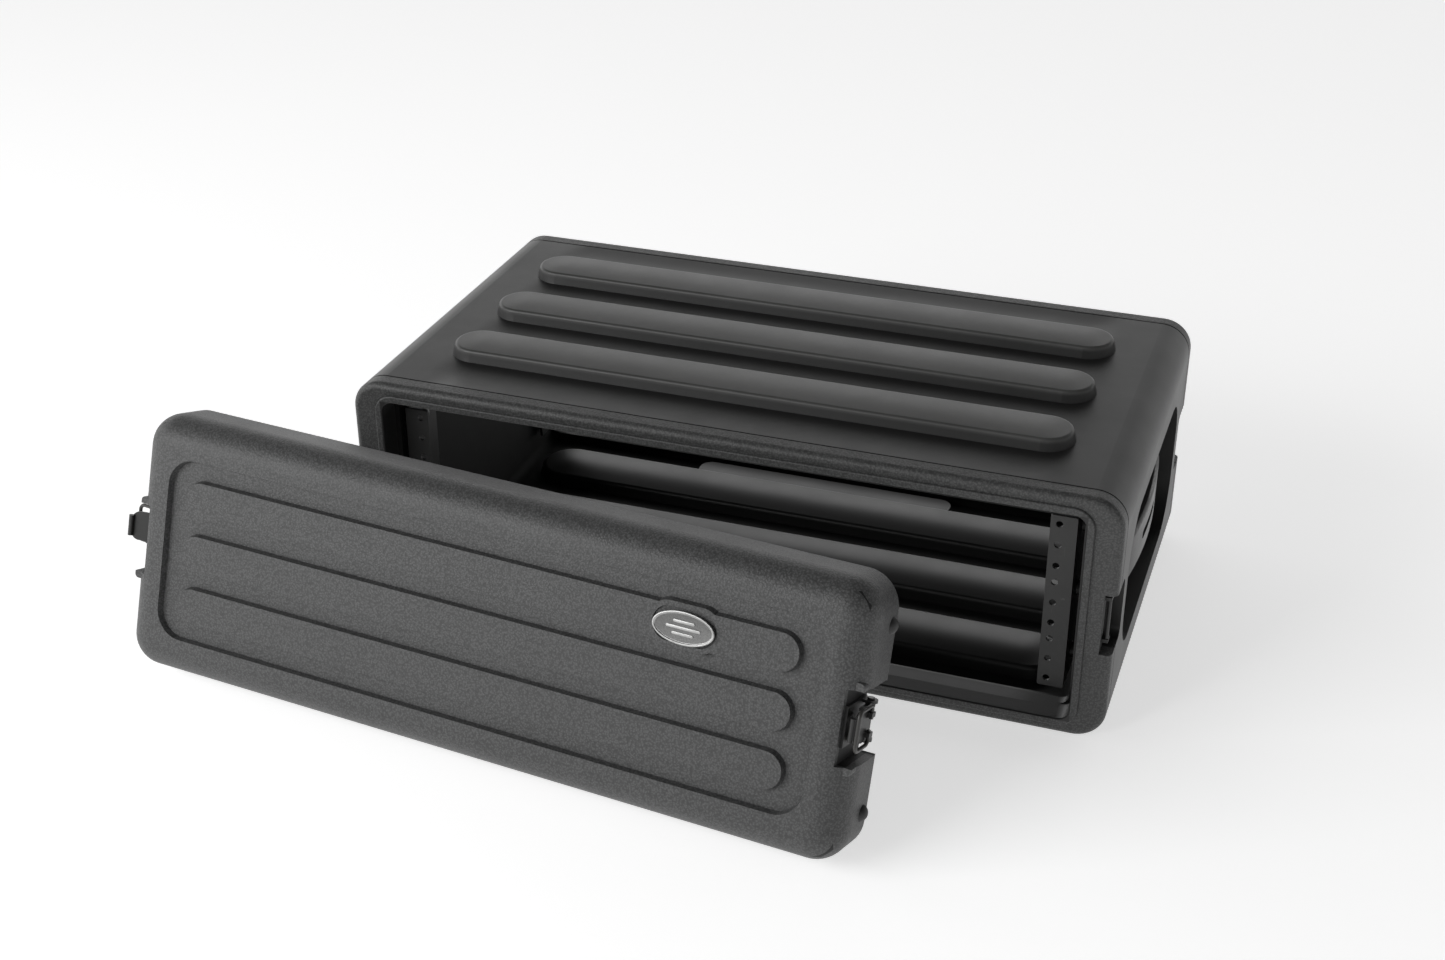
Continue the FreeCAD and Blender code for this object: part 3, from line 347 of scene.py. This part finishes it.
def shell_finish(plastic):
    """Satin sides between grained end rings, with smooth glossy walls inside; the inner walls are
    painted dark as shade and the rib tops painted lighter as highlight.
    """
    finish = Finish("shell_plastic", IOR=1.47, Specular_IOR_Level=0.5)
    x, y, z = (finish.along(axis) for axis in ((1, 0, 0), (0, 1, 0), (0, 0, 1)))
    coarse_grain = pebbles(finish, plastic.grain_pitch)
    ring_length = 14.0 * MM
    ring = (y < FRONT + ring_length).either(y > REAR - ring_length)
    lip_length = 26.5 * MM
    lip = (y < FRONT + lip_length).either(y > REAR - lip_length)
    throat_x, throat_z = 253.6 * MM, 79.6 * MM
    bay_x, bay_z = 250.5 * MM, 89.0 * MM
    throat = lip * (abs(x) < throat_x) * (abs(z) < throat_z)
    inside = (1.0 - lip) * (abs(x) < bay_x) * (abs(z) < bay_z)
    grained = ring * (1.0 - throat)
    # Painted highlight: the top few millimetres of the ribs are painted in the lighter crest colour.
    lit_crest = z.ramp(SHELL_HIGH.z - 4.0 * MM, SHELL_HIGH.z - 1.0 * MM)
    rubbed = scuffs(finish) * (1.0 - inside)
    dust = specks(finish, 34.0 * MM, 0.5 * MM) * (1.0 - inside)
    sides = finish.blend(lit_crest, worn_grey(finish, plastic.shell_colour),
                         worn_grey(finish, plastic.crest_highlight_colour))
    # Painted light and shade on the end rings' grain.
    colour = finish.blend(grained, sides, grain_lit_and_shaded(finish, plastic.ring_colour, coarse_grain))
    # Painted shade: the inner walls of the bay take the dark inside colour.
    colour = finish.blend(inside, colour, worn_grey(finish, plastic.inside_shade_colour, 0.3))
    colour = finish.blend(rubbed * 0.5, colour, rgba(plastic.shell_colour, 3.2))
    colour = finish.blend(dust, colour, rgba(SHELL_DUST))
    finish.give("Base Color", colour)
    patchy = finish.noise(24.0, 3.0, 0.6) * 0.12 - 0.06
    outer = grained * (plastic.grain_roughness - plastic.satin_roughness) + plastic.satin_roughness
    corner = abs(x).ramp(225.0 * MM, 245.0 * MM) * 0.3
    rough = outer * (1.0 - inside) + inside * (corner + plastic.inside_roughness)
    finish.give("Roughness", rough + patchy + rubbed * 0.1)
    coarse = coarse_grain * grained
    satin = finish.noise(1.0 / plastic.satin_pitch, 2.0, 0.6)
    relief = coarse * plastic.grain_depth + satin * (1.0 - grained) * (
        1.0 - inside * 0.7) * plastic.satin_depth
    ripple = finish.noise(38.0, 1.0) * 0.12 * MM
    rib_pitch = 76.2 * MM
    wave = ((y - MIDDLE) * (2.0 * math.pi / rib_pitch)).math("COSINE")
    rib_end = 230.0 * MM
    level = (1.0 - ring) * abs(z).ramp(50.0 * MM, 88.0 * MM) * (
        1.0 - abs(x).ramp(rib_end - 25.0 * MM, rib_end))
    crown = wave * level * (plastic.crown_height + inside * plastic.ridge_crown)
    finish.give("Normal", finish.bump(relief + ripple + crown, 1.0))
    return finish.material


def lid_finish(plastic):
    """Coarse grain outside; the hollow back is smoother and painted dark as shade."""
    finish = Finish("lid_plastic", IOR=1.47, Specular_IOR_Level=0.5)
    depth = finish.along(LID_AXES[1], LID_MIDDLE)
    length = finish.along(LID_AXES[0], LID_MIDDLE)
    height = finish.along(LID_AXES[2], LID_MIDDLE)
    wall, front_wall, corner_cut = 6.0 * MM, 9.0 * MM, 344.7 * MM
    hollow = (abs(length) < LID_LENGTH / 2 - wall) * (abs(height) < LID_HEIGHT / 2 - wall) * (
        depth > -LID_THICKNESS + front_wall) * (abs(length) + abs(height) < corner_cut)
    rubbed = scuffs(finish, 0.72) * (1.0 - hollow)
    dust = specks(finish, 46.0 * MM, 0.45 * MM)
    grain = pebbles(finish, plastic.grain_pitch)
    # Painted shade: the lid's hollow back takes the dark inside colour; outside, the grain carries
    # painted light and shade.
    colour = finish.blend(hollow, grain_lit_and_shaded(finish, plastic.lid_colour, grain),
                          worn_grey(finish, plastic.inside_shade_colour, 0.25))
    colour = finish.blend(rubbed * 0.4, colour, rgba(plastic.lid_colour, 2.2))
    colour = finish.blend(dust, colour, rgba(LID_DUST))
    finish.give("Base Color", colour)
    patchy = finish.noise(20.0, 3.0, 0.6) * 0.14 - 0.07
    rough = hollow * (plastic.inside_roughness + 0.12 - plastic.grain_roughness)
    finish.give("Roughness", rough + plastic.grain_roughness + patchy + grain * 0.05)
    ripple = finish.noise(30.0, 1.0) * 0.1 * MM
    relief = grain * (1.0 - hollow * 0.8) * plastic.grain_depth
    finish.give("Normal", finish.bump(relief + ripple, 1.0))
    return finish.material


def handle_finish(plastic):
    """Fine-grained moulded bars and studs, polished by hands along the middle."""
    finish = Finish("moulded_plastic", IOR=1.47)
    y = finish.along((0, 1, 0), (0, MIDDLE, 0))
    polished = 1.0 - abs(y).ramp(20.0 * MM, 75.0 * MM)
    finish.give("Base Color", worn_grey(finish, plastic.handle_colour))
    rough = finish.noise(60.0, 3.0, 0.6) * 0.12 + 0.4
    finish.give("Roughness", rough - polished * 0.12)
    grain = finish.noise(1300.0, 2.0, 0.6) * 0.05 * MM
    finish.give("Normal", finish.bump(grain, 1.0))
    return finish.material


def steel_finish(metal, name, colour, base_roughness, peel):
    """Coated steel with orange peel and bright rubbed spots."""
    finish = Finish(name, Metallic=0.0, IOR=1.5)
    worn = finish.noise(95.0, 4.0, 0.7).ramp(0.66, 0.74)
    rubbed = finish.noise(1.0, 2.0, 0.6, finish.stretched((900.0, 160.0, 60.0))).ramp(0.7, 0.78)
    wear = worn * 0.35 + rubbed * 0.3
    finish.give("Base Color", finish.blend(wear, worn_grey(finish, colour),
                                           rgba(metal.worn_colour)))
    finish.give("Metallic", wear)
    finish.give("Roughness", finish.noise(210.0, 3.0, 0.6) * 0.16 + base_roughness)
    finish.give("Normal", finish.bump(finish.noise(620.0, 2.0, 0.5) * peel, 1.0))
    return finish.material


def foam_finish():
    """Closed-cell foam with small open pores."""
    finish = Finish("foam_seal", IOR=1.4)
    finish.shader.inputs["Sheen Weight"].default_value = 0.25
    pores = finish.cells(1400.0).ramp(0.12, 0.5)
    pit, skin = (0.006, 0.006, 0.006), (0.024, 0.024, 0.023)
    finish.give("Base Color", finish.blend(pores, rgba(pit), rgba(skin)))
    finish.give("Roughness", finish.noise(300.0, 2.0) * 0.15 + 0.78)
    finish.give("Normal", finish.bump(pores * 0.12 * MM, 1.0))
    return finish.material


def badge_finish(metal):
    """Satin metal, brushed along the badge, with a darker sunken field."""
    finish = Finish("badge_metal", Metallic=1.0)
    brushed = finish.noise(1.0, 3.0, 0.7, finish.stretched((90.0, 2600.0, 2600.0)))
    tarnish = finish.noise(160.0, 3.0, 0.6)
    colour = finish.blend(brushed.ramp(0.3, 0.7), rgba(metal.badge_colour, 0.82),
                          rgba(metal.badge_colour, 1.1))
    finish.give("Base Color", finish.blend(tarnish.ramp(0.55, 0.8) * 0.4, colour,
                                           rgba(metal.badge_colour, 0.55)))
    finish.give("Roughness", brushed * 0.2 + 0.3)
    finish.give("Normal", finish.bump(brushed * 0.02 * MM, 1.0))
    return finish.material


def field_finish(metal):
    """The badge's sunken field: darker, shot-blasted metal."""
    finish = Finish("badge_field", Metallic=1.0)
    grit = finish.noise(2600.0, 2.0, 0.6)
    finish.give("Base Color", finish.blend(grit.ramp(0.3, 0.7), rgba(metal.badge_field, 0.7),
                                           rgba(metal.badge_field, 1.3)))
    finish.give("Roughness", grit * 0.15 + 0.42)
    finish.give("Normal", finish.bump(grit * 0.04 * MM, 1.0))
    return finish.material


# ---- badge mesh -----------------------------------------------------------------------------

def new_object(name, bm, materials):
    mesh = bpy.data.meshes.new(name)
    bm.normal_update()
    bm.to_mesh(mesh)
    bm.free()
    obj = bpy.data.objects.new(name, mesh)
    bpy.context.scene.collection.objects.link(obj)
    for material in materials:
        mesh.materials.append(material)
    for polygon in mesh.polygons:
        polygon.use_smooth = True
    return obj


def oval_ring(bm, half_length, half_height, depth, steps=96):
    """A closed oval of vertices at one depth."""
    ring = []
    for i in range(steps):
        turn = 2.0 * math.pi * i / steps
        ring.append(bm.verts.new((half_length * math.cos(turn), depth,
                                  half_height * math.sin(turn))))
    return ring


def skin_rings(bm, rings):
    """Joins each ring of vertices to the next with a band of faces."""
    for low, high in zip(rings, rings[1:]):
        for i in range(len(low)):
            after = (i + 1) % len(low)
            bm.faces.new((low[i], low[after], high[after], high[i]))


def badge_plate_mesh(half_length, half_height, thickness, rim, field_depth):
    """An oval plate: rounded raised rim, sloping wall and a sunken field."""
    bm = bmesh.new()
    outline = [(0.0, thickness), (0.0, 0.35 * MM), (0.12 * MM, 0.12 * MM), (0.4 * MM, 0.0),
               (rim - 0.35 * MM, 0.0), (rim - 0.08 * MM, 0.1 * MM),
               (rim + 0.18 * MM, field_depth), (rim + 0.5 * MM, field_depth + 0.05 * MM)]
    rings = [oval_ring(bm, half_length - inset, half_height - inset, depth)
             for inset, depth in outline]
    skin_rings(bm, rings)
    bm.faces.new(list(reversed(rings[-1]))).material_index = 1
    bm.faces.new(rings[0])
    bmesh.ops.recalc_face_normals(bm, faces=bm.faces[:])
    return bm


def rounded_bar(bm, centre, length, width, low, high, steps=12):
    """A low-relief bar with round ends and a soft top edge, standing from low to high."""
    rings = []
    soft = min(0.3 * MM, width / 4)
    for inset, depth in ((0.0, low), (0.0, high + soft * 0.7), (soft * 0.35, high + soft * 0.2),
                         (soft, high)):
        radius = width / 2 - inset
        ring = []
        for end in (1, -1):
            for i in range(steps + 1):
                turn = math.pi * i / steps - math.pi / 2
                x = end * ((length - width) / 2 + radius * math.cos(turn))
                ring.append(bm.verts.new((centre[0] + x, depth,
                                          centre[1] + end * radius * math.sin(turn))))
        rings.append(ring)
    skin_rings(bm, rings)
    bm.faces.new(rings[-1])
    bm.faces.new(rings[0])


# ---- operators ------------------------------------------------------------------------------

class RACKCASE_OT_shell(bpy.types.Operator):
    """Finish the moulded shell"""
    bl_idname = "rackcase.shell"
    bl_label = "Shell"

    def execute(self, context):
        dress("body_shell", shell_finish(context.scene.rack_plastic))
        return {"FINISHED"}


class RACKCASE_OT_lid(bpy.types.Operator):
    """Finish the lid and its foam seal"""
    bl_idname = "rackcase.lid"
    bl_label = "Lid and seal"

    def execute(self, context):
        dress("lid_shell", lid_finish(context.scene.rack_plastic))
        dress("lid_gasket", foam_finish())
        return {"FINISHED"}


class RACKCASE_OT_handles(bpy.types.Operator):
    """Finish the carrying bars and the lid's locating studs"""
    bl_idname = "rackcase.handles"
    bl_label = "Handles and studs"

    def execute(self, context):
        material = handle_finish(context.scene.rack_plastic)
        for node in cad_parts:
            if node.startswith(("side_handle_", "lid_stud_")):
                dress(node, material)
        return {"FINISHED"}


class RACKCASE_OT_steel(bpy.types.Operator):
    """Finish the rails, keepers, latches, pins, screws and rivets"""
    bl_idname = "rackcase.steel"
    bl_label = "Steel parts"

    def execute(self, context):
        metal = context.scene.rack_metal
        coat = steel_finish(metal, "black_steel", metal.coat_colour, 0.34, 0.05 * MM)
        zinc = steel_finish(metal, "fastener_steel", metal.zinc_colour, 0.26, 0.015 * MM)
        coated = ("rail_front_", "rail_rear_", "keeper_front_", "keeper_rear_", "latch_base_",
                  "latch_lever_", "rail_spacers")
        zinced = ("rail_bolts", "handle_screws", "keeper_rivets", "latch_rivets", "latch_pin_",
                  "latch_loop_")
        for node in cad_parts:
            if node.startswith(coated):
                dress(node, coat)
            elif node.startswith(zinced):
                dress(node, zinc)
        return {"FINISHED"}


class RACKCASE_OT_badge(bpy.types.Operator):
    """Build the oval badge with a plain three-bar emblem"""
    bl_idname = "rackcase.badge"
    bl_label = "Badge"

    def execute(self, context):
        sizes, metal = context.scene.rack_badge, context.scene.rack_metal
        front = -LID_THICKNESS - BADGE_PROUD
        spot = LID_MIDDLE + LID_TURN @ Vector((BADGE_X, front, BADGE_Z))
        place = Matrix.Translation(spot) @ LID_TURN.to_4x4()
        materials = [badge_finish(metal), field_finish(metal)]
        plate = new_object("badge_face", badge_plate_mesh(
            BADGE_HALF_LENGTH, BADGE_HALF_HEIGHT, BADGE_THICKNESS, sizes.rim_width,
            BADGE_FIELD_DEPTH), materials)
        plate.matrix_world = place
        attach(plate, "lid")
        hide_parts("badge_plate")
        bm = bmesh.new()
        for index, length in EMBLEM_LENGTHS.items():
            rounded_bar(bm, (0.0, index * sizes.bar_pitch), length, sizes.bar_width,
                        BADGE_FIELD_DEPTH + 0.1 * MM, BADGE_FIELD_DEPTH - sizes.bar_rise)
        bmesh.ops.recalc_face_normals(bm, faces=bm.faces[:])
        emblem = new_object("badge_emblem", bm, materials[:1])
        emblem.matrix_world = place
        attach(emblem, "lid")
        return {"FINISHED"}


class RACKCASE_OT_studio(bpy.types.Operator):
    """Set up the plain floor, the soft light and the camera"""
    bl_idname = "rackcase.studio"
    bl_label = "Studio"

    def execute(self, context):
        studio = context.scene.rack_studio
        self.lay_floor(studio)
        self.light(studio)
        self.set_camera(context.scene, studio)
        context.scene.view_settings.view_transform = "Standard"
        return {"FINISHED"}

    @staticmethod
    def lay_floor(studio):
        finish = Finish("studio_floor", Roughness=0.9, Specular_IOR_Level=0.0,
                        Emission_Strength=studio.floor_glow, Emission_Color=(1, 1, 1, 1))
        finish.give("Base Color", rgba(studio.floor_colour))
        bm = bmesh.new()
        half = studio.floor_width / 2
        bm.faces.new([bm.verts.new((x, y, FLOOR - 0.1 * MM))
                      for x, y in ((-half, -half), (half, -half), (half, half), (-half, half))])
        floor = new_object("studio_floor", bm, [finish.material])

    @staticmethod
    def light(studio):
        world = bpy.data.worlds.new("studio")
        world.use_nodes = True
        bpy.context.scene.world = world
        tree = world.node_tree
        background = tree.nodes["Background"]
        background.inputs["Color"].default_value = (1.0, 1.0, 1.0, 1.0)
        coordinates = tree.nodes.new("ShaderNodeTexCoord")

        def facing(direction, start, end, low, high):
            """Light that grows from low to high as a direction is faced."""
            turned = tree.nodes.new("ShaderNodeVectorMath")
            turned.operation = "DOT_PRODUCT"
            turned.inputs[1].default_value = Vector(direction).normalized()
            tree.links.new(coordinates.outputs["Generated"], turned.inputs[0])
            spread = tree.nodes.new("ShaderNodeMapRange")
            spread.interpolation_type = "SMOOTHSTEP"
            for name, value in (("From Min", start), ("From Max", end)):
                spread.inputs[name].default_value = value
            for name, value in (("To Min", low), ("To Max", high)):
                if isinstance(value, float):
                    spread.inputs[name].default_value = value
                else:
                    tree.links.new(value, spread.inputs[name])
            tree.links.new(turned.outputs["Value"], spread.inputs["Value"])
            return spread.outputs["Result"]

        # Low down the light grows towards the back left, and it fades towards the ceiling.
        around = facing((-0.78, 0.62, 0.0), -0.4, 0.95, studio.sky_low, studio.sky_high)
        light = facing((0.0, 0.0, 1.0), 0.12, 0.72, around, studio.sky_top)
        tree.links.new(light, background.inputs["Strength"])
        lamp = bpy.data.lights.new("key", "AREA")
        lamp.shape = "RECTANGLE"
        lamp.size, lamp.size_y = 1.8, 1.1
        lamp.energy = studio.key_power
        obj = bpy.data.objects.new("key", lamp)
        obj.location = Vector(studio.key_place)
        aim = Vector((0.0, 0.0, 0.0)) - obj.location
        obj.rotation_euler = aim.to_track_quat("-Z", "Y").to_euler()
        bpy.context.scene.collection.objects.link(obj)

    @staticmethod
    def set_camera(scene, studio):
        data = bpy.data.cameras.new("camera")
        data.lens = studio.camera_lens
        data.sensor_width = 36.0
        data.clip_start, data.clip_end = 0.01, 200.0
        camera = bpy.data.objects.new("camera", data)
        look = Vector(studio.camera_aim) - Vector(studio.camera_place)
        turn = look.to_track_quat("-Z", "Y").to_matrix() @ Matrix.Rotation(studio.camera_roll, 3, "Z")
        camera.matrix_world = Matrix.Translation(studio.camera_place) @ turn.to_4x4()
        scene.collection.objects.link(camera)
        scene.camera = camera


class RACKCASE_PT_panel(bpy.types.Panel):
    """The rack case's pieces and studio"""
    bl_idname = "RACKCASE_PT_panel"
    bl_label = "Rack case"
    bl_space_type = "VIEW_3D"
    bl_region_type = "UI"
    bl_category = "Rack Case"

    def draw(self, context):
        column = self.layout.column()
        for operator in STEPS:
            column.operator(operator.bl_idname, text=operator.bl_label)
        for name in SETTINGS:
            group = getattr(context.scene, name)
            box = self.layout.box()
            for key in group.__annotations__:
                box.prop(group, key)


SETTINGS = {"rack_plastic": PlasticSettings, "rack_metal": MetalSettings,
            "rack_badge": BadgeSettings, "rack_studio": StudioSettings}
STEPS = (RACKCASE_OT_shell, RACKCASE_OT_lid, RACKCASE_OT_handles, RACKCASE_OT_steel,
         RACKCASE_OT_badge, RACKCASE_OT_studio)


def register():
    for cls in (*SETTINGS.values(), *STEPS, RACKCASE_PT_panel):
        bpy.utils.register_class(cls)
    for name, group in SETTINGS.items():
        setattr(bpy.types.Scene, name, PointerProperty(type=group))


def unregister():
    for name in SETTINGS:
        delattr(bpy.types.Scene, name)
    for cls in reversed((*SETTINGS.values(), *STEPS, RACKCASE_PT_panel)):
        bpy.utils.unregister_class(cls)


def main():
    register()
    for step in STEPS:
        family, name = step.bl_idname.split(".")
        if getattr(getattr(bpy.ops, family), name)() != {"FINISHED"}:
            raise RuntimeError(step.bl_label + " wasn't finished")


if __name__ == "__main__":
    main()
